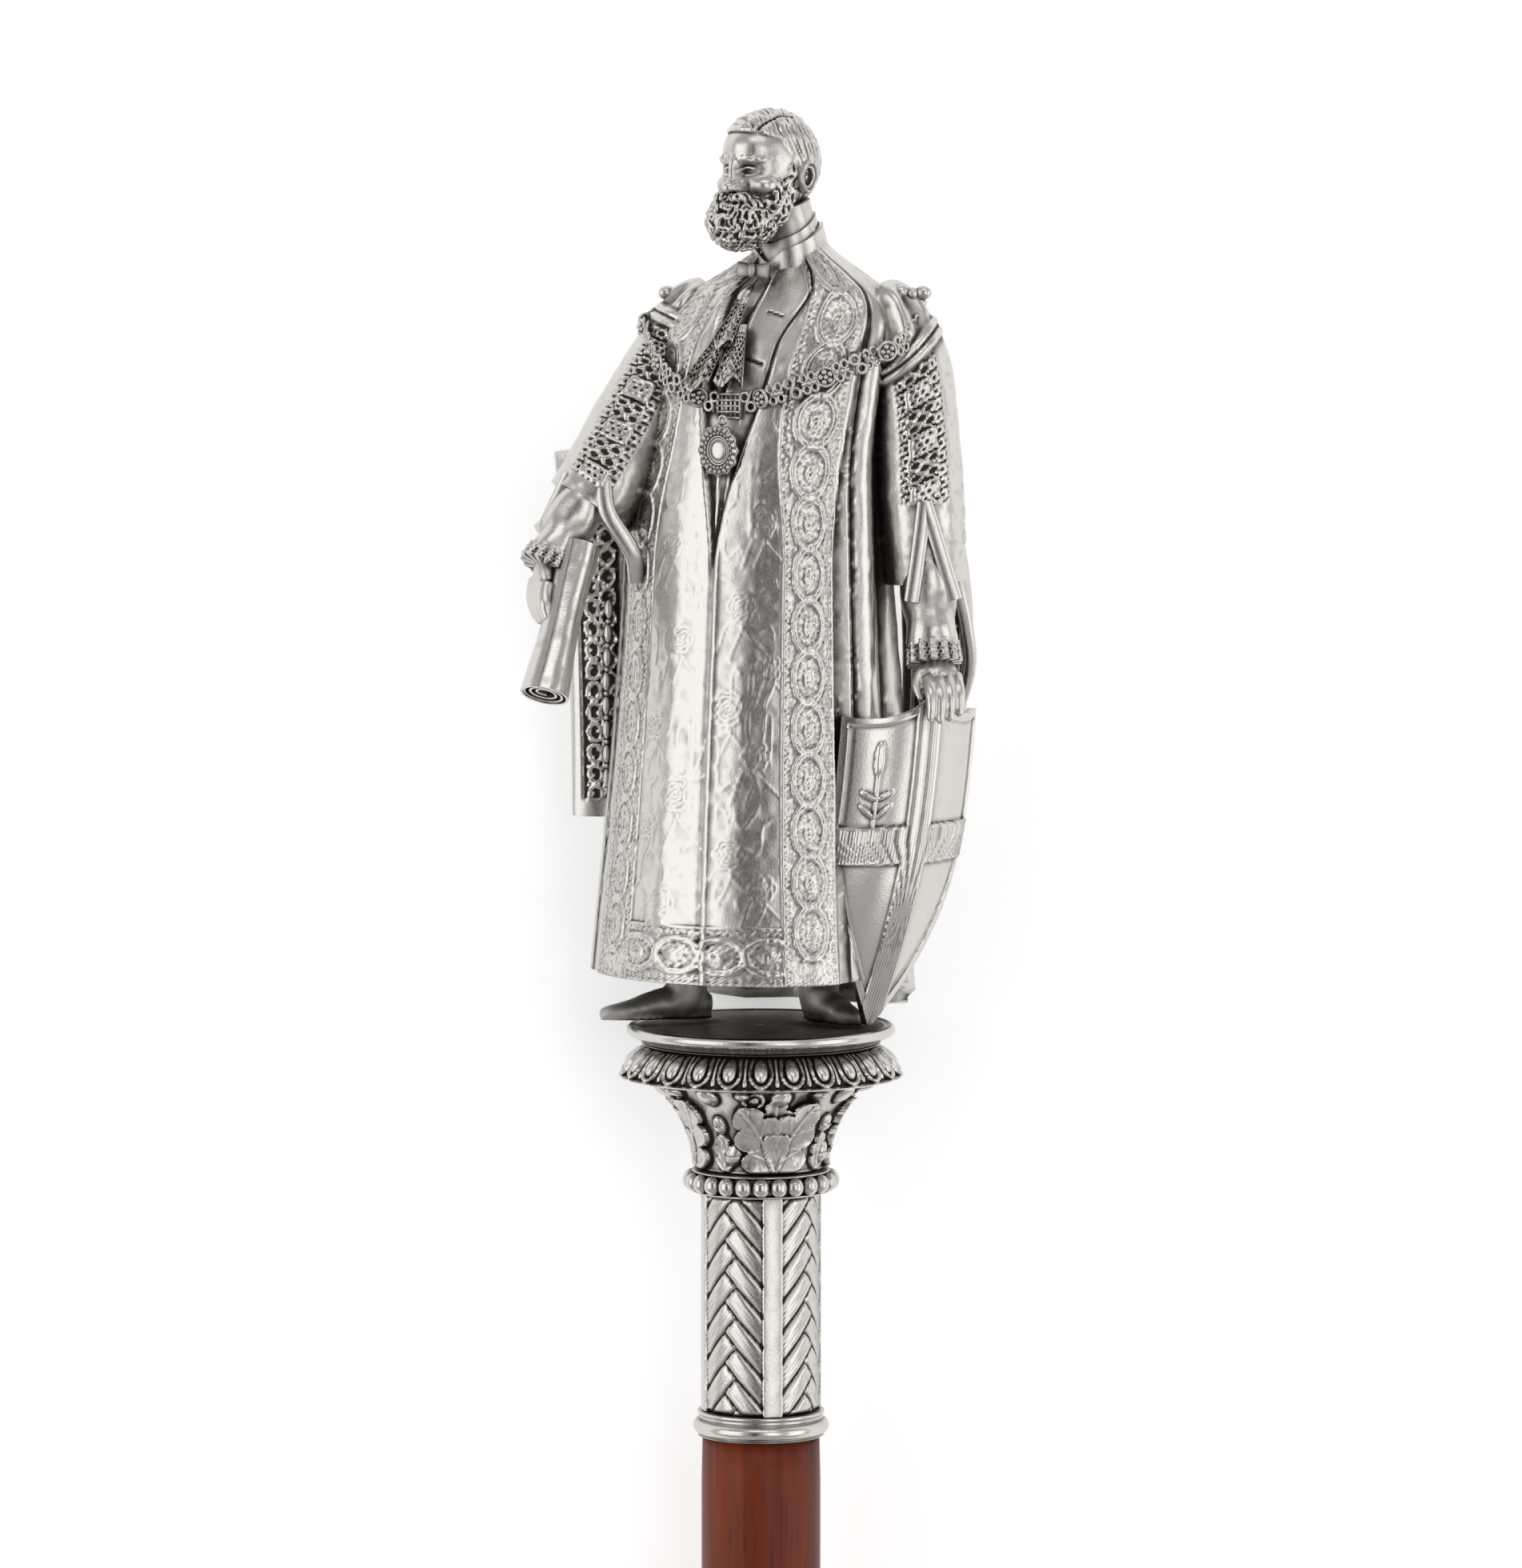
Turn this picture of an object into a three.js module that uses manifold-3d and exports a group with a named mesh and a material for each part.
// A ceremonial mace: a cast silver figure with a scroll and a shield, on a capital, a plaited sleeve
// and a pole.
//
// It is worked out upright: X is to the viewer's right, Y runs up the pole to the figure's head and Z is
// towards the viewer, with Y = 0 at the top of the disc under the feet. The last lines lay it on its back.
import * as THREE from "three";
import { mergeVertices } from "three/addons/utils/BufferGeometryUtils.js";
import Module from "manifold-3d";

const wasm = await Module();
wasm.setup();

// Driving dimensions, in millimetres and degrees.
const TOTAL_LENGTH = 1200;
const FIGURE_HEIGHT = 274;
const GAP = 0.3;
const BODY_TURN = 25;
const HEAD_TURN = 42;

const DISC_RADIUS = 40.5;
const DISC_BOTTOM = -5;
const EGG_COUNT = 26;
const EGG_DEPTH = 2.6;
const EGG_RING_RADIUS = 43.1;
const EGG_RING_TOP = DISC_BOTTOM - GAP;
const EGG_RING_BOTTOM = -16.2;
const BELL_TOP = EGG_RING_BOTTOM - GAP;
const BELL_BOTTOM = -43.6;
const LEAF_COUNT = 8;
const LEAF_TURN = 12;
const LEAF_DEPTH = 1.7;
const LEAF_TIP_RADIUS = 35;
const BEAD_COUNT = 25;
const BEAD_RADIUS = 2.35;
const BEAD_CIRCLE = 21.2;
const BEAD_RING_TOP = BELL_BOTTOM - GAP;
const BEAD_RING_BOTTOM = -50.8;
const COLUMN_RADIUS = 18.1;
const COLUMN_TOP = BEAD_RING_BOTTOM - GAP;
const COLUMN_BOTTOM = -117;
const PLAIT_ROWS = 7;
const PLAIT_DEPTH = 1.3;
const STRIP_COUNT = 4;
const STRIP_ANGLE = 18.8;
const STRIP_TURN = 12;
const COLLAR_RADIUS = 20.6;
const COLLAR_TOP = COLUMN_BOTTOM - GAP;
const COLLAR_BOTTOM = -125;
const POLE_RADIUS = 18;
const POLE_TOP = COLLAR_BOTTOM - GAP;
const FERRULE_LENGTH = 46;
const FERRULE_RADIUS = 21;
const FOOT = FIGURE_HEIGHT - TOTAL_LENGTH;

const HEM_HEIGHT = 16;
const TRAIN_HEIGHT = 3;
const FACING_LIFT = 1.3;
const FACING_EDGE = 53;
const OPENING_DEPTH = 2.2;
const FOLD_DEPTH = 2.4;
const FOLD_COUNT = 9;
const FOLD_PHASE = -135;
const SHIELD_ROOM = 13;
const GOWN_WALL = 5;
const HOLLOW_TOP = 165;
const HEAD_HALF = [12.6, 18.2, 17.5];
const HEAD_CENTRE = [2.1, FIGURE_HEIGHT - HEAD_HALF[1], 4];
const BEARD_HALF = [10.8, 9.6, 9.4];
const EAR_HALF = [1.6, 5, 3];
const CHAIN_WIDTH = 6.4;
const CHAIN_THICK = 1.6;
const CHAIN_LINKS = 20;
const CHAIN_RISE = 0.55;
const CHAIN_BED = 0.35;
const BADGE_HEIGHT = 174;
const BADGE_HALF = [5.8, 7.4];
const SCROLL_TOP = [-54.4, 144.6, 14];
const SCROLL_END = [-64.2, 101.5, 34];
const SCROLL_RADIUS = 6.6;
const SHIELD_TIP = [31.5, 0.4, 16];
const SHIELD_HEAD = [50.8, 101, 28.6];
const SHIELD_TURN = 37;
const SHIELD_HALF_WIDTH = 28;
const SHIELD_CURVE = 34;
const SHIELD_BULGE = 6.5;
const SHIELD_THICK = 2;
const SHIELD_SHOULDER = 0.58;
const BAND_RISE = 0.9;
const RIM_RISE = 0.7;

// Height, centre to the right, centre forward, half width, depth in front and depth behind of the gown.
const GOWN = [
  [0, -1, 0, 50, 43, 46],
  [16, -1, 0, 49, 42, 45],
  [60, -0.8, 0, 44.6, 39, 41.5],
  [115, -0.2, 0, 41, 35, 36.5],
  [153, 0, 0, 39.2, 31.5, 31],
  [173, 1.2, 0, 37.5, 29.5, 28],
  [200, 4, 0, 37.5, 25, 23.5],
  [212, 7, 0.5, 36, 21, 20],
  [220, 9, 0.5, 31, 16.5, 17],
  [226, 10, 0.5, 22, 13, 14],
  [231, 10.2, 0.5, 14, 10.5, 11.5],
  [235, 9.9, 0.5, 9.6, 9.2, 9.4],
  [239, 9.2, 0.8, 8.8, 8.6, 8.8],
];

const SILVER = { color: 0xc4c0b8, metalness: 1, roughness: 0.28 };
const DARK_SILVER = { color: 0x8d8880, metalness: 1, roughness: 0.42 };
const WOOD = { color: 0x5a1c10, metalness: 0, roughness: 0.3 };

const radians = THREE.MathUtils.degToRad;
const mix = THREE.MathUtils.lerp;
const hump = (x, width) => Math.exp(-((x / width) ** 2));

// A smooth rise from 0 to 1 as a value goes from start to end, which may also be the lower of the two.
function step(start, end, value) {
  const t = THREE.MathUtils.clamp((value - start) / (end - start), 0, 1);
  return t * t * (3 - 2 * t);
}

// A closed skin over rings of points. Each end has a fan to its ring's middle, unless the rings go round
// a loop. Each square is split by one diagonal, or by the other one in the columns where crossed says so.
function skin(rings, loop = false, crossed = () => false) {
  const sides = rings[0].length;
  const middle = (ring) => ring[0].map((_, k) => ring.reduce((sum, p) => sum + p[k], 0) / sides);
  const points = rings.flat();
  const index = [];
  for (let i = 0; i < rings.length - (loop ? 0 : 1); i++) {
    const row = i * sides;
    const above = ((i + 1) % rings.length) * sides;
    for (let j = 0; j < sides; j++) {
      const next = (j + 1) % sides;
      if (crossed(j)) index.push(row + j, row + next, above + next, row + j, above + next, above + j);
      else index.push(row + j, row + next, above + j, row + next, above + next, above + j);
    }
  }
  if (!loop) {
    const first = points.push(middle(rings[0]), middle(rings[rings.length - 1])) - 2;
    const topRow = (rings.length - 1) * sides;
    for (let j = 0; j < sides; j++) {
      const next = (j + 1) % sides;
      index.push(first, next, j, first + 1, topRow + j, topRow + next);
    }
  }
  const geometry = new THREE.BufferGeometry();
  geometry.setAttribute("position", new THREE.Float32BufferAttribute(points.flat(), 3));
  geometry.setIndex(index);
  return geometry;
}

// A closed geometry as a manifold solid, turned right side out if it needs it.
function solid(geometry) {
  const bare = geometry.clone();
  bare.deleteAttribute("normal");
  bare.deleteAttribute("uv");
  const merged = mergeVertices(bare, 1e-4);
  const make = (triVerts) =>
    new wasm.Manifold(
      new wasm.Mesh({ numProp: 3, vertProperties: merged.attributes.position.array, triVerts }),
    );
  const triVerts = new Uint32Array(merged.index.array);
  const made = make(triVerts);
  return made.volume() > 0 ? made : make(triVerts.reverse());
}

function join(geometries) {
  return geometries.map(solid).reduce((whole, part) => whole.add(part));
}

function geometryOf(manifold) {
  const mesh = manifold.getMesh();
  const geometry = new THREE.BufferGeometry();
  geometry.setAttribute("position", new THREE.Float32BufferAttribute(mesh.vertProperties, 3));
  geometry.setIndex(Array.from(mesh.triVerts));
  return geometry;
}

// The row of a table at a height, by a smooth curve through its rows.
function rowAt(table, height) {
  const last = table.length - 1;
  const clamped = Math.min(Math.max(height, table[0][0]), table[last][0]);
  let i = 0;
  while (i < last - 1 && clamped > table[i + 1][0]) i++;
  const slope = (k, column) => {
    const a = table[Math.max(k - 1, 0)];
    const b = table[Math.min(k + 1, last)];
    return (b[column] - a[column]) / (b[0] - a[0]);
  };
  const span = table[i + 1][0] - table[i][0];
  const t = (clamped - table[i][0]) / span;
  return table[i].slice(1).map((value, k) => {
    const end = table[i + 1][k + 1];
    const rise = 3 * t * t - 2 * t * t * t;
    const leave = t * (1 - t) * (1 - t) * span * slope(i, k + 1);
    const arrive = t * t * (t - 1) * span * slope(i + 1, k + 1);
    return value + (end - value) * rise + leave + arrive;
  });
}

// A solid tube through stations of [x, y, z, half width, half depth], with a flattened section if wished.
function limb(stations, steps, sides, flatDirection = [0, 0, 1]) {
  const places = stations.map((s) => new THREE.Vector3(s[0], s[1], s[2]));
  const curve = new THREE.CatmullRomCurve3(places, false, "centripetal");
  const flat = new THREE.Vector3(...flatDirection);
  const rings = [];
  for (let i = 0; i <= steps; i++) {
    const t = i / steps;
    const centre = curve.getPoint(t);
    const along = curve.getTangent(t);
    const across = new THREE.Vector3().crossVectors(along, flat).normalize();
    const deep = new THREE.Vector3().crossVectors(across, along).normalize();
    const place = Math.min(t * (stations.length - 1), stations.length - 1.0001);
    const k = Math.floor(place);
    const width = mix(stations[k][3], stations[k + 1][3], place - k);
    const depth = mix(stations[k][4], stations[k + 1][4], place - k);
    const ring = [];
    for (let j = 0; j < sides; j++) {
      const turn = (j / sides) * 2 * Math.PI;
      const point = centre.clone();
      point.addScaledVector(across, width * Math.cos(turn));
      point.addScaledVector(deep, depth * Math.sin(turn));
      ring.push(point.toArray());
    }
    rings.push(ring);
  }
  return skin(rings);
}

// An egg-shaped lump with its own half sizes.
function lump(centre, half, sides = 6, rows = 4) {
  return new THREE.SphereGeometry(1, sides, rows)
    .scale(...half)
    .translate(...centre);
}

// A turned solid from a profile of [radius, height], with an optional change of radius around it.
function turned(profile, sides, radiusAt = (radius) => radius, turn = 0) {
  const rings = profile.map(([radius, height]) => {
    const ring = [];
    for (let j = 0; j < sides; j++) {
      const angle = (j / sides) * 2 * Math.PI + turn;
      const r = radiusAt(radius, angle, height);
      ring.push([r * Math.sin(angle), height, r * Math.cos(angle)]);
    }
    return ring;
  });
  return skin(rings);
}

// From the body's own directions, across to its left and forward, to the upright frame.
function turnedBy(degrees, across, forward) {
  const angle = radians(degrees);
  return [
    across * Math.cos(angle) - forward * Math.sin(angle),
    across * Math.sin(angle) + forward * Math.cos(angle),
  ];
}

// How far the open front reaches to each side of the middle, in degrees, at a height.
const openingAt = (height) => 1.6 + 15 * step(139, 205, height) + 14 * step(205, 230, height);

// How far the gown stands in or out at an angle from its front: facings, opening, side folds and back folds.
function gownRelief(degrees, height) {
  const side = Math.abs(degrees);
  const edge = FACING_EDGE + 6 * step(140, 190, height);
  const shoulder = 1 - step(195, 222, height);
  const below = 1 - step(222, 236, height);
  const facing = FACING_LIFT * (1 - step(edge, edge + 1.5, side)) * below;
  const opening = -OPENING_DEPTH * (1 - step(openingAt(height) - 1, openingAt(height) + 1, side));
  const sideFold = 2.6 * hump(side - 72, 9) * shoulder - 2.2 * hump(side - 88, 6) * shoulder;
  const low = 1 - step(20, 200, height);
  const wave = Math.cos(radians((degrees - FOLD_PHASE) * FOLD_COUNT));
  const folds = FOLD_DEPTH * low * step(92, 112, side) * wave;
  const behindShield = -SHIELD_ROOM * hump(degrees - 82, 24) * step(78, 20, height);
  return facing + opening * (1 - step(228, 234, height)) + sideFold + folds + behindShield;
}

// A point of the gown at an angle from its front, positive to the figure's left, and a height.
function gownPoint(degrees, height, out = 0) {
  const [right, ahead, half, front, back] = rowAt(GOWN, height);
  const angle = radians(degrees);
  const lift = gownRelief(degrees, height) + out;
  const across = (half + lift) * Math.sin(angle);
  const forward = ((Math.cos(angle) > 0 ? front : back) + lift) * Math.cos(angle);
  const [x, z] = turnedBy(BODY_TURN, across, forward);
  return [right + x, height, ahead + z];
}

function gown() {
  const front = [0, 2.6, 16, 31, 52.5, 55, 63, 72, 80];
  const columns = [];
  for (const angle of front.slice(1).reverse()) columns.push(-angle);
  columns.push(...front);
  for (let angle = 92; angle <= 268; angle += 14.6) columns.push(angle);
  const heights = [0, 0.12, 0.26, 0.4, 0.54, 0.66, 0.76, 0.83, 0.88, 0.915, 0.945, 0.972, 1];
  const top = GOWN[GOWN.length - 1][0];
  const rings = heights.map((share) =>
    columns.map((degrees) => {
      const signed = degrees > 180 ? degrees - 360 : degrees;
      const hem = mix(HEM_HEIGHT, TRAIN_HEIGHT, step(85, 150, Math.abs(signed)));
      return gownPoint(signed, mix(hem, top, share));
    }),
  );
  return skin(rings);
}

// The room under the gown, open below, which is the gown's own form a wall's thickness further in.
function underGown() {
  const rings = [];
  for (const height of [-2, 35, 85, 130, HOLLOW_TOP]) {
    const ring = [];
    const inward = height === HOLLOW_TOP ? 3 * GOWN_WALL : GOWN_WALL;
    for (let degrees = -180; degrees < 180; degrees += 24) ring.push(gownPoint(degrees, height, -inward));
    rings.push(ring);
  }
  return skin(rings);
}

// A point of the head: an egg with a narrower jaw, a brow, eye hollows, cheeks, a nose and combed hair.
function headPoint(longitude, latitude) {
  const up = Math.sin(radians(latitude));
  const level = Math.cos(radians(latitude));
  const turn = radians(longitude);
  const side = Math.abs(longitude);
  const jaw = 1 - 0.26 * step(-0.1, -0.9, up);
  const nose = 3.4 * hump(longitude, 8) * step(0.22, -0.2, up) * step(-0.42, -0.26, up);
  const brow = 0.9 * hump(up - 0.2, 0.1) * hump(longitude, 42);
  const eyes = -1.3 * hump(up - 0.04, 0.1) * hump(side - 19, 9);
  const cheeks = 0.6 * hump(up + 0.2, 0.14) * hump(side - 34, 14);
  const hair = 0.9 * step(0.3, 0.5, up + 0.35 * step(50, 75, side));
  const nape = -2.6 * step(-0.25, -0.8, up) * step(100, 140, side);
  const beard = 3.4 * step(-0.3, -0.6, up) * step(100, 70, side);
  const out = nose + brow + eyes + cheeks + hair + nape + beard;
  const across = (HEAD_HALF[0] * jaw + out) * level * Math.sin(turn);
  const forward = (HEAD_HALF[2] * (0.5 + 0.5 * jaw) + out) * level * Math.cos(turn);
  const [x, z] = turnedBy(HEAD_TURN, across, forward);
  return [HEAD_CENTRE[0] + x, HEAD_CENTRE[1] + (HEAD_HALF[1] + hair * up) * up, HEAD_CENTRE[2] + z];
}

function head() {
  const longitudes = [-180, -150, -120, -90, -60, -38, -20, -8, 0, 8, 20, 38, 60, 90, 120, 150];
  const latitudes = [-88, -55, -34, -20, -12, -3, 4, 12, 22, 38, 56, 74, 88];
  return skin(latitudes.map((up) => longitudes.map((around) => headPoint(around, up))));
}

// A place given in the head's own directions: across to its left, up from its middle, and forward.
function onHead(across, up, forward) {
  const [x, z] = turnedBy(HEAD_TURN, across, forward);
  return [HEAD_CENTRE[0] + x, HEAD_CENTRE[1] + up, HEAD_CENTRE[2] + z];
}

function beardAndEars() {
  const turn = -radians(HEAD_TURN);
  const placed = (half, centre, sides, rows) =>
    new THREE.SphereGeometry(1, sides, rows)
      .scale(...half)
      .rotateY(turn)
      .translate(...onHead(...centre));
  return [
    placed(BEARD_HALF, [0, -14.4, 12.2], 8, 6),
    placed([7, 2.6, 3], [0, -8.4, 15.4], 6, 4),
    placed(EAR_HALF, [12.6, -1.4, -2.4], 6, 4),
    placed(EAR_HALF, [-12.6, -1.4, -2.4], 6, 4),
  ];
}

// A hand: a palm and four fingers that bend together, with a thumb beside them.
function hand(wrist, palm, grip, tips, spread, thumb) {
  const parts = [limb([[...wrist, ...grip], [...palm, ...grip]], 1, 8)];
  for (let finger = 0; finger < 4; finger++) {
    const share = finger / 3 - 0.5;
    const root = palm.map((value, k) => value + spread[k] * share);
    const knuckle = tips[0].map((value, k) => value + spread[k] * share);
    const tip = tips[1].map((value, k) => value + spread[k] * share);
    parts.push(limb([[...root, 1.8, 1.8], [...knuckle, 1.7, 1.7], [...tip, 1.3, 1.3]], 2, 5));
  }
  parts.push(limb([[...wrist, 2.2, 2], [...thumb[0], 1.9, 1.8], [...thumb[1], 1.3, 1.2]], 2, 5));
  return parts;
}

// A low shoe from its heel to its pointed toe, with the leg above it, which goes up into the gown.
function shoe(heel, toe, shin, hip) {
  const at = (share, up) => [mix(heel[0], toe[0], share), heel[1] + up, mix(heel[2], toe[2], share)];
  const upper = [
    [...at(0, 4.2), 3.6, 4],
    [...at(0.3, 4.4), 4.6, 4.2],
    [...at(0.62, 3.2), 5, 3],
    [...at(0.85, 2.2), 3.8, 2],
    [...at(1, 1.8), 1.5, 1.3],
  ];
  const leg = [[...at(0.22, 3), 4.6, 4.8], [...shin, 5.4, 5.4], [...hip, 9, 9]];
  return [limb(upper, 6, 8, [0, 1, 0]), limb(leg, 2, 8)];
}

function rightArm() {
  const sleeve = [
    [-19, 217, -9, 9, 9],
    [-27, 200, -8, 12, 12],
    [-36, 182, -4, 14, 14],
    [-45, 166, 0, 14, 15],
    [-52, 156, 2, 13, 15],
  ];
  const hanging = [
    [-50, 172, -8, 12, 4],
    [-49, 140, -15, 10, 4],
    [-48, 100, -20, 9.5, 4],
    [-47.5, 61, -24, 9.5, 3.2],
  ];
  const forearm = [[-46, 168, 4, 9, 9], [-56, 153, 10, 7.6, 7.6], [-64, 141, 16, 6, 6]];
  const cuff = [[-62.5, 143, 15, 7, 7], [-65, 138.6, 17.5, 7.6, 7.4]];
  const parts = [
    limb(sleeve, 4, 9),
    limb(hanging, 3, 6, [0, 0.3, 1]),
    limb(forearm, 2, 8),
    limb(cuff, 1, 8),
  ];
  const fingers = [[-67.6, 128, 20.2], [-67.2, 123, 22.2]];
  const thumb = [[-61.5, 134, 12], [-57.5, 130, 11.4]];
  return [...parts, ...hand([-65.4, 139, 17], [-67, 130, 18.6], [3.2, 5], fingers, [0, 0, 8.4], thumb)];
}

function leftArm() {
  const sleeve = [
    [37, 216, 12, 10, 9],
    [44, 200, 12, 12, 12],
    [46.5, 180, 12, 12.5, 13],
    [47.5, 160, 12, 13, 14],
    [49, 134, 12, 12, 13],
  ];
  const hanging = [
    [50, 150, 2, 10, 6],
    [53, 122, -6, 10.5, 6],
    [52, 92, -12, 9.5, 4],
    [50, 61, -18, 9.5, 3.2],
  ];
  const forearm = [[49, 150, 14, 9, 9], [50, 128, 20, 8, 8], [51, 115, 24, 7, 7]];
  const cuff = [[51, 116.5, 23.5, 8, 8], [51.5, 110.5, 25.5, 8.2, 8]];
  const parts = [
    limb(sleeve, 4, 9),
    limb(hanging, 3, 6, [0, 0.3, 1]),
    limb(forearm, 2, 8),
    limb(cuff, 1, 8),
  ];
  const fingers = [[52.8, 100.4, 34], [53, 95, 35.4]];
  const thumb = [[47, 105, 30], [45.5, 99, 32.6]];
  return [...parts, ...hand([51.5, 112, 25], [52.5, 104.5, 29.5], [5, 3], fingers, [9.5, 0, -4], thumb)];
}

// A ribbon bow on a shoulder: two loops and a knot.
function bow(centre, reach) {
  const [x, y, z] = centre;
  return [
    lump([x - reach[0], y, z - reach[1]], [3.6, 2.4, 2.6]),
    lump([x + reach[0], y, z + reach[1]], [3.6, 2.4, 2.6]),
    lump([x, y + 0.6, z], [2.2, 2.4, 2.4]),
  ];
}

// The lace that falls from the neck in three ruffles.
function jabot() {
  const parts = [];
  for (let ruffle = 0; ruffle < 3; ruffle++) {
    const height = 222 - 11 * ruffle;
    const [x, , z] = gownPoint(2 - 4 * ruffle, height, 1);
    const [lowX, , lowZ] = gownPoint(-2, height - 13, 2.4);
    parts.push(limb([[x, height, z, 2.4, 1.8], [lowX, height - 13, lowZ, 4.6 + ruffle, 2.2]], 1, 7));
  }
  return parts;
}

// A point of the chain's path: it falls to the middle of the chest and goes over the shoulders to the back.
function chainPlace(degrees, out) {
  const side = Math.min(Math.abs(degrees) / 110, 1);
  const behind = 4 * step(110, 180, Math.abs(degrees));
  const overSleeve = 6 * hump(Math.abs(degrees) - 90, 40);
  return gownPoint(degrees, 187 + 30 * side ** 1.25 - behind, out + overSleeve);
}

// The chain as one band, where each link is a wider swelling. With room, it is the bed that it lies in.
function chain(room = 0) {
  const perLink = 2;
  const steps = CHAIN_LINKS * perLink;
  const rings = [];
  for (let i = 0; i < steps; i++) {
    const degrees = (i / steps) * 360 - 180;
    const inner = new THREE.Vector3(...chainPlace(degrees, CHAIN_RISE));
    const out = new THREE.Vector3(...chainPlace(degrees, CHAIN_RISE + 1)).sub(inner).normalize();
    const ahead = new THREE.Vector3(...chainPlace(degrees + 2, CHAIN_RISE));
    const along = ahead.sub(inner).normalize();
    const across = new THREE.Vector3().crossVectors(along, out).normalize();
    const narrow = i % perLink === 0 ? 0.7 : 1;
    const width = (CHAIN_WIDTH / 2) * (room ? 1 : narrow) + room;
    const top = room ? 4 * CHAIN_THICK : CHAIN_THICK * narrow;
    const beside = (side) => inner.clone().addScaledVector(across, side * width);
    const at = (side, rise) => beside(side).addScaledVector(out, rise);
    const under = room ? -CHAIN_BED : 0;
    const corners = [at(-1, under), at(1, under), at(0.8, top), at(-0.8, top)];
    rings.push(corners.map((corner) => corner.toArray()));
  }
  return skin(rings, true);
}

// An oval badge of two steps, which faces the way the body does.
function badge() {
  const [x, , z] = gownPoint(0, BADGE_HEIGHT, FACING_LIFT + OPENING_DEPTH + GAP);
  const rings = [];
  const sides = 12;
  for (const [share, rise] of [[1, 0], [1, 1.2], [0.66, 1.6], [0.6, 1], [0.4, 1.7]]) {
    const ring = [];
    for (let j = 0; j < sides; j++) {
      const turn = (j / sides) * 2 * Math.PI;
      const [dx, dz] = turnedBy(BODY_TURN, BADGE_HALF[0] * share * Math.cos(turn), rise);
      ring.push([x + dx, BADGE_HEIGHT + BADGE_HALF[1] * share * Math.sin(turn), z + dz]);
    }
    rings.push(ring);
  }
  return skin(rings);
}

// The rolled sheet: wider at both ends, with the last turn's free edge along it.
function scroll(grow = 0) {
  const top = new THREE.Vector3(...SCROLL_TOP);
  const end = new THREE.Vector3(...SCROLL_END);
  const along = end.clone().sub(top).normalize();
  const across = new THREE.Vector3(0, 0, 1).cross(along).normalize();
  const deep = new THREE.Vector3().crossVectors(along, across);
  const rings = [];
  const steps = 5;
  const sides = 12;
  for (let i = 0; i <= steps; i++) {
    const share = i / steps;
    const radius = SCROLL_RADIUS * (1 - 0.17 * Math.sin(Math.PI * share) + 0.1 * share) + grow;
    const centre = top.clone().lerp(end, share).addScaledVector(along, grow * (2 * share - 1));
    const ring = [];
    for (let j = 0; j < sides; j++) {
      const turn = (j / sides) * 2 * Math.PI;
      const r = radius * (1 + (grow ? 0 : 0.12) * hump(turn - 1.2, 0.3));
      const point = centre.clone().addScaledVector(across, r * Math.cos(turn));
      ring.push(point.addScaledVector(deep, r * Math.sin(turn)).toArray());
    }
    rings.push(ring);
  }
  return skin(rings);
}

// A point of the shield: along from its tip, around from its middle line, and out from its outer face.
function shieldPoint(along, around, out) {
  const tip = new THREE.Vector3(...SHIELD_TIP);
  const rise = new THREE.Vector3(...SHIELD_HEAD).sub(tip);
  const normal = new THREE.Vector3(Math.sin(radians(SHIELD_TURN)), 0, Math.cos(radians(SHIELD_TURN)));
  const sideways = new THREE.Vector3(normal.z, 0, -normal.x);
  const turn = around / SHIELD_CURVE;
  const radius = SHIELD_CURVE + out;
  const bulge = SHIELD_BULGE * Math.sin(Math.PI * along);
  return tip
    .addScaledVector(rise, along)
    .addScaledVector(normal, bulge + radius * Math.cos(turn) - SHIELD_CURVE)
    .addScaledVector(sideways, radius * Math.sin(turn))
    .toArray();
}

// Half the shield's width at a share of its height, which narrows below SHIELD_SHOULDER.
const shieldHalf = (along) =>
  SHIELD_HALF_WIDTH * (1 - Math.max(0, 1 - along / SHIELD_SHOULDER) ** 1.4);

// How high its top edge is at a share of the half width: it dips between its corners and its middle point.
const shieldTop = (side) => 0.93 + 0.07 * Math.exp(-Math.abs(side) / 0.28) + 0.015 * side ** 4;

function shield(grow = 0) {
  const rows = [0.012, 0.12, 0.24, 0.36, 0.48, 0.505, 0.515, 0.625, 0.635, 0.84, 1];
  const sides = [-1, -0.88, -0.5, -0.18, -0.15, 0, 0.12, 0.15, 0.5, 0.88, 1];
  const rings = rows.map((row) => {
    const place = (side, out) => {
      const along = row * shieldTop(side);
      const half = shieldHalf(along) + grow;
      const stretch = row === 1 ? grow / SHIELD_HEAD[1] : 0;
      return shieldPoint(along + stretch, side * half, out);
    };
    const crossBar = row > 0.51 && row < 0.63;
    const face = sides.map((side) => {
      const rim = Math.abs(side) > 0.87 ? RIM_RISE : 0;
      const bar = (side > -0.17 && side < 0.14) || crossBar ? BAND_RISE : 0;
      return place(side, grow ? BAND_RISE + grow : Math.max(rim, bar));
    });
    const inside = [1, 0.5, 0, -0.5, -1].map((side) => place(side, -SHIELD_THICK - grow));
    return [...face, ...inside];
  });
  return skin(rings);
}

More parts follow.
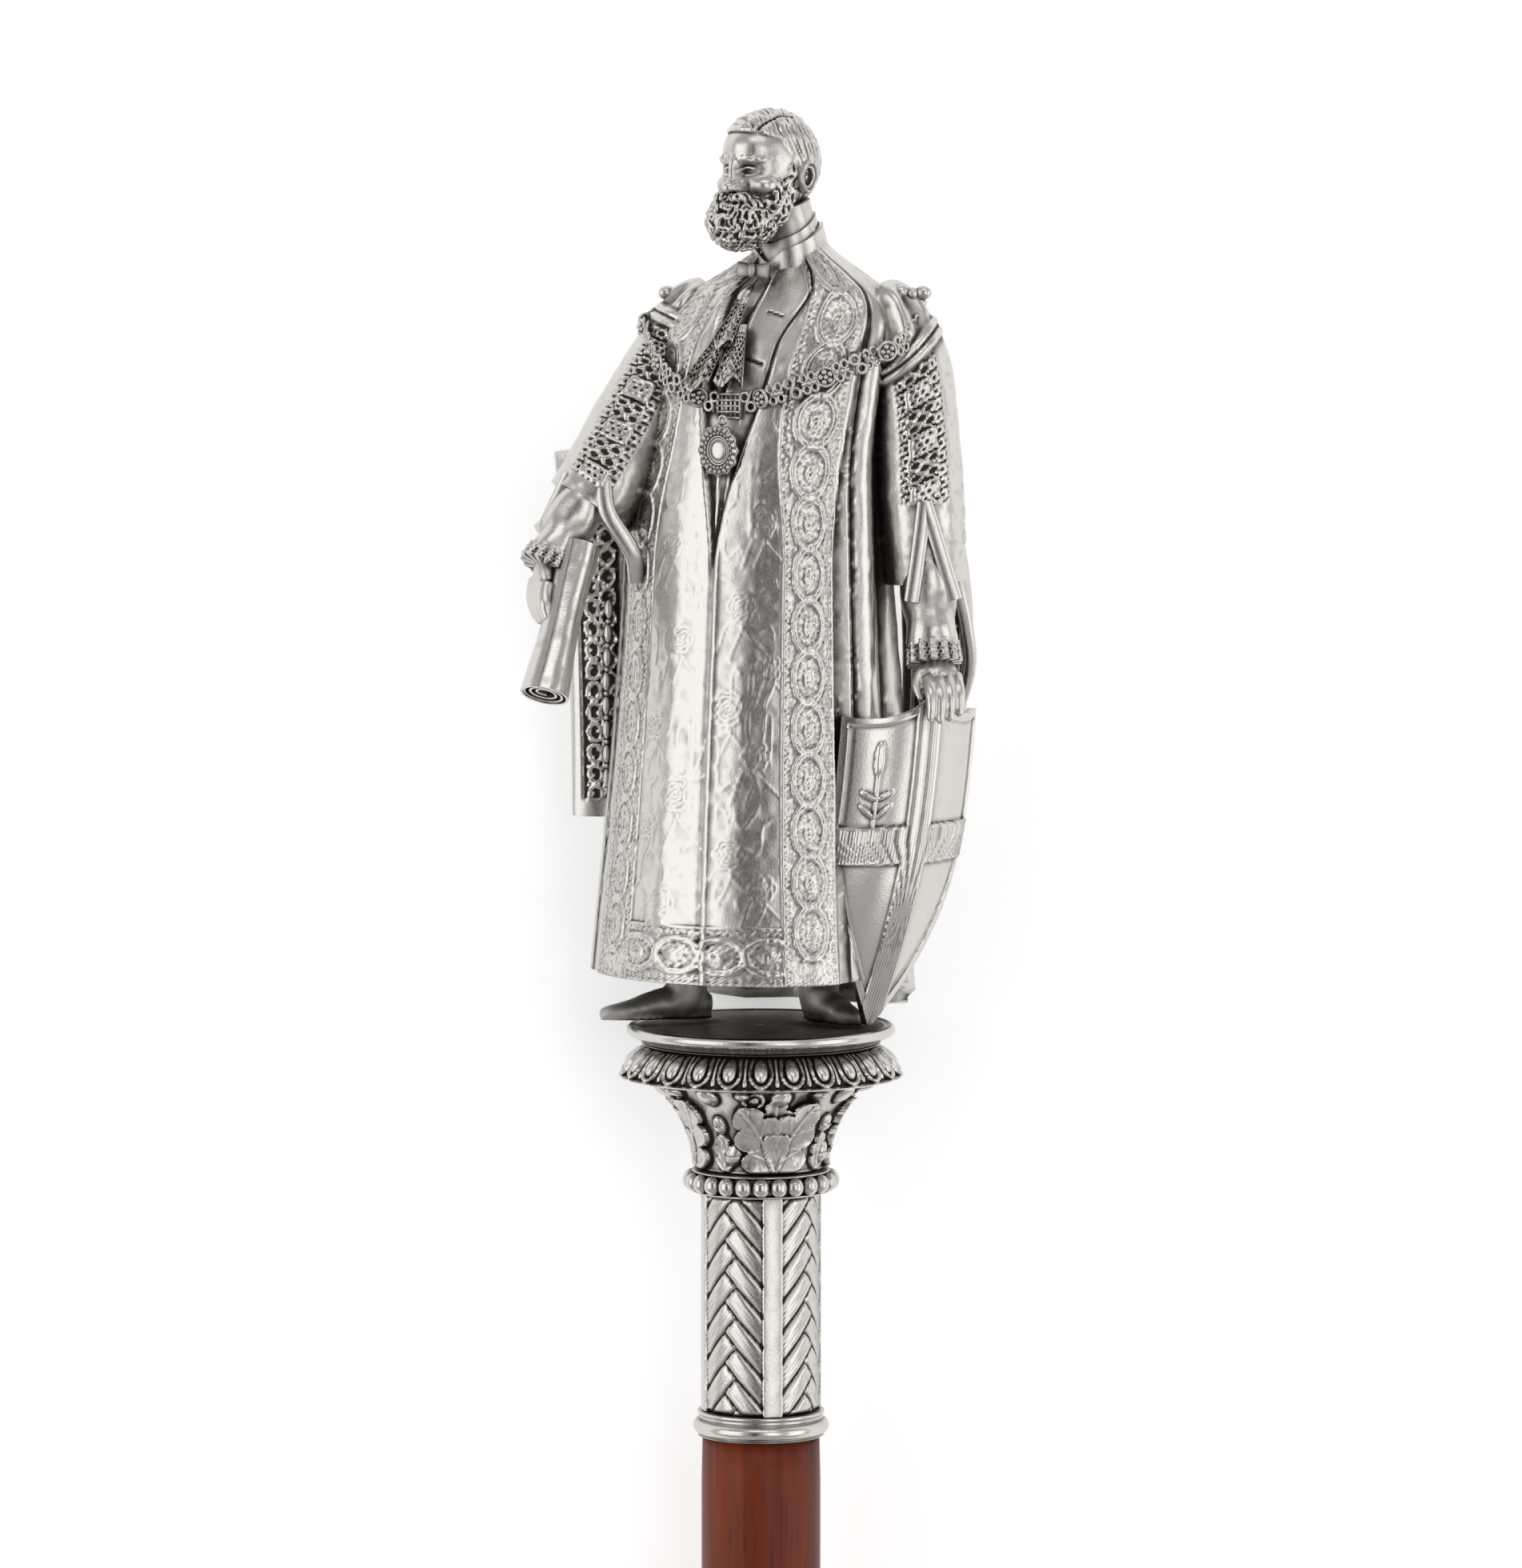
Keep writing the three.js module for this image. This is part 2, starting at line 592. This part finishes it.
// The casting: its parts are joined, and then what it wears and holds is given room in it.
function figure() {
  const neck = limb([[10.3, 230, 0.6, 8.4, 8.4], [8.4, 243, 1.8, 7.6, 7.6]], 2, 12);
  const robe = solid(gown()).subtract(solid(underGown()));
  const whole = join([
    neck,
    head(),
    ...beardAndEars(),
    ...rightArm(),
    ...leftArm(),
    ...bow([-25, 219, -9], [3.6, 1.6]),
    ...bow([45, 220, 15], [3, 1.4]),
    ...jabot(),
    ...shoe([-17, GAP, -9], [-48.5, 1.2, 3], [-22, 18, -7], [-13, HOLLOW_TOP + 4, -4]),
    ...shoe([15, GAP, -4], [30, GAP, 10], [17, 18, -3], [12, HOLLOW_TOP + 4, 2]),
  ]).add(robe);
  const rooms = [scroll(GAP), shield(GAP), chain(2 * GAP)];
  return rooms.map(solid).reduce((rest, room) => rest.subtract(room), whole);
}

function plinthDisc() {
  const rim = 1.7;
  const profile = [[36.4, DISC_BOTTOM], [37.6, -3.6]];
  for (let k = 0; k <= 3; k++) {
    const turn = -Math.PI / 2 + (k / 3) * Math.PI;
    profile.push([DISC_RADIUS - rim + rim * Math.cos(turn), -rim + rim * Math.sin(turn)]);
  }
  return turned(profile, 28);
}

// The ovolo with its eggs: two columns for each, its crown and the hollow beside it.
function eggRing() {
  const profile = [
    [EGG_RING_RADIUS - 3, EGG_RING_BOTTOM],
    [EGG_RING_RADIUS, -14.6],
    [EGG_RING_RADIUS - 0.6, -13.6],
    [EGG_RING_RADIUS - 2.7, -10.4],
    [EGG_RING_RADIUS - 7.1, EGG_RING_TOP],
  ];
  const radiusAt = (radius, angle, height) => {
    const egg = 0.5 + 0.5 * Math.cos(angle * EGG_COUNT);
    const carved = hump(height + 11, 4) * step(-15.5, -13.8, height);
    return radius - EGG_DEPTH * (1 - egg) * carved;
  };
  return turned(profile, EGG_COUNT * 2, radiusAt);
}

// The bell with its leaves: each leaf is a broad rib that leaves the bell at its tip.
function capital() {
  const profile = [
    [18.7, BELL_BOTTOM],
    [20, -40],
    [21.5, -35],
    [23.2, -30],
    [25.4, -25],
    [28.6, -21],
    [31, -18],
    [31.5, BELL_TOP],
  ];
  const radiusAt = (radius, angle, height) => {
    const rib = Math.cos((angle - radians(LEAF_TURN)) * LEAF_COUNT);
    const leaf = LEAF_DEPTH * Math.max(rib, -0.6) * step(-43.5, -39, height);
    const tip = (LEAF_TIP_RADIUS - 31.5) * step(-22, -17.5, height) * Math.max(rib, 0) ** 2;
    return radius + leaf + tip;
  };
  return turned(profile, LEAF_COUNT * 4, radiusAt, radians(LEAF_TURN));
}

function beadRing() {
  const middle = -47.3;
  const profile = [
    [20.2, BEAD_RING_BOTTOM],
    [BEAD_CIRCLE + BEAD_RADIUS * 0.5, middle - BEAD_RADIUS * 0.85],
    [BEAD_CIRCLE + BEAD_RADIUS, middle],
    [BEAD_CIRCLE + BEAD_RADIUS * 0.5, middle + BEAD_RADIUS * 0.85],
    [20.2, BEAD_RING_TOP],
  ];
  const radiusAt = (radius, angle) => {
    const valley = 0.5 - 0.5 * Math.cos(angle * BEAD_COUNT);
    return radius - Math.max(radius - 20.4, 0) * 0.85 * valley;
  };
  return turned(profile, BEAD_COUNT * 2, radiusAt);
}

// The plaited column: plain flat strips, and plaits between them whose strands meet in the middle.
function plaitedSleeve() {
  const panel = 360 / STRIP_COUNT;
  const shares = [-0.5, -0.25, 0, 0.25, 0.5];
  const columns = [];
  for (let k = 0; k < STRIP_COUNT; k++) {
    const middle = STRIP_TURN + panel * (k + 0.5);
    const width = panel - STRIP_ANGLE;
    columns.push({ degrees: STRIP_TURN + panel * k - STRIP_ANGLE / 2 + 0.5, inside: null });
    columns.push({ degrees: STRIP_TURN + panel * k + STRIP_ANGLE / 2 - 0.5, inside: null });
    for (const share of shares) columns.push({ degrees: middle + share * width, inside: share });
  }
  const rowsEach = 3;
  const rows = PLAIT_ROWS * rowsEach;
  const rings = [];
  for (let i = 0; i <= rows; i++) {
    const height = mix(COLUMN_BOTTOM, COLUMN_TOP, i / rows);
    const ring = columns.map(({ degrees, inside }) => {
      const slant = inside === null ? 0 : Math.abs(inside) * 2 - (inside > 0 ? 0.5 : 0);
      const strand = Math.abs(Math.sin(Math.PI * (i / rowsEach + slant)));
      const end = i === 0 || i === rows;
      const depth = inside === null || end ? 0 : 0.3 + PLAIT_DEPTH * (1 - strand);
      const r = COLUMN_RADIUS - depth;
      return [r * Math.sin(radians(degrees)), height, r * Math.cos(radians(degrees))];
    });
    rings.push(ring);
  }
  const perPanel = columns.length / STRIP_COUNT;
  return skin(rings, false, (j) => j % perPanel < 4);
}

function collar() {
  const bulge = 1.9;
  const profile = [[18.9, COLLAR_BOTTOM]];
  for (let k = 0; k <= 3; k++) {
    const turn = -Math.PI / 2.4 + (k / 3) * (Math.PI / 1.2);
    profile.push([COLLAR_RADIUS - bulge + bulge * Math.cos(turn), -121.8 + bulge * Math.sin(turn)]);
  }
  profile.push([18.7, COLLAR_TOP]);
  return turned(profile, 24);
}

function pole() {
  return turned([[POLE_RADIUS, FOOT + FERRULE_LENGTH + GAP], [POLE_RADIUS, POLE_TOP]], 28);
}

function ferrule() {
  const top = FOOT + FERRULE_LENGTH;
  const profile = [
    [15.5, FOOT],
    [18.6, FOOT + 5],
    [19, top - 9],
    [FERRULE_RADIUS, top - 7],
    [FERRULE_RADIUS, top - 3],
    [19.2, top],
  ];
  return turned(profile, 24);
}

const upright = new THREE.Group();

function add(name, geometry, look) {
  const bare = geometry.clone();
  bare.deleteAttribute("normal");
  bare.deleteAttribute("uv");
  const placed = mergeVertices(bare, 1e-4);
  const shown = placed.toNonIndexed();
  shown.computeVertexNormals();
  const mesh = new THREE.Mesh(shown, new THREE.MeshStandardMaterial({ ...look, flatShading: true }));
  mesh.name = name;
  upright.add(mesh);
}

const casting = figure();
add("figure", geometryOf(casting), SILVER);
add("chain_of_office", geometryOf(solid(chain()).subtract(casting)), SILVER);
add("badge", geometryOf(solid(badge())), SILVER);
add("scroll", geometryOf(solid(scroll())), SILVER);
add("shield", geometryOf(solid(shield())), SILVER);
add("plinth_disc", geometryOf(solid(plinthDisc())), DARK_SILVER);
add("egg_and_dart_ring", geometryOf(solid(eggRing())), SILVER);
add("oak_leaf_capital", geometryOf(solid(capital())), DARK_SILVER);
add("bead_ring", geometryOf(solid(beadRing())), SILVER);
add("plaited_sleeve", geometryOf(solid(plaitedSleeve())), SILVER);
add("sleeve_collar", geometryOf(solid(collar())), SILVER);
add("wooden_pole", geometryOf(solid(pole())), WOOD);
add("foot_ferrule", geometryOf(solid(ferrule())), SILVER);

// The mace lies on its back: the plane under it touches the ferrule's ring and the lowest part of the figure.
function restSlope() {
  const places = upright.getObjectByName("figure").geometry.attributes.position;
  const ring = FOOT + FERRULE_LENGTH - 7;
  let slope = 0;
  for (let i = 0; i < places.count; i++) {
    slope = Math.min(slope, (places.getZ(i) + FERRULE_RADIUS) / (places.getY(i) - ring));
  }
  return slope;
}

upright.rotation.x = -Math.atan(restSlope());
const box = new THREE.Box3().setFromObject(upright, true);
const middle = box.getCenter(new THREE.Vector3());
upright.position.set(-middle.x, -middle.y, -box.min.z);

const group = new THREE.Group();
group.name = "ceremonial_mace";
group.add(upright);

export default group;
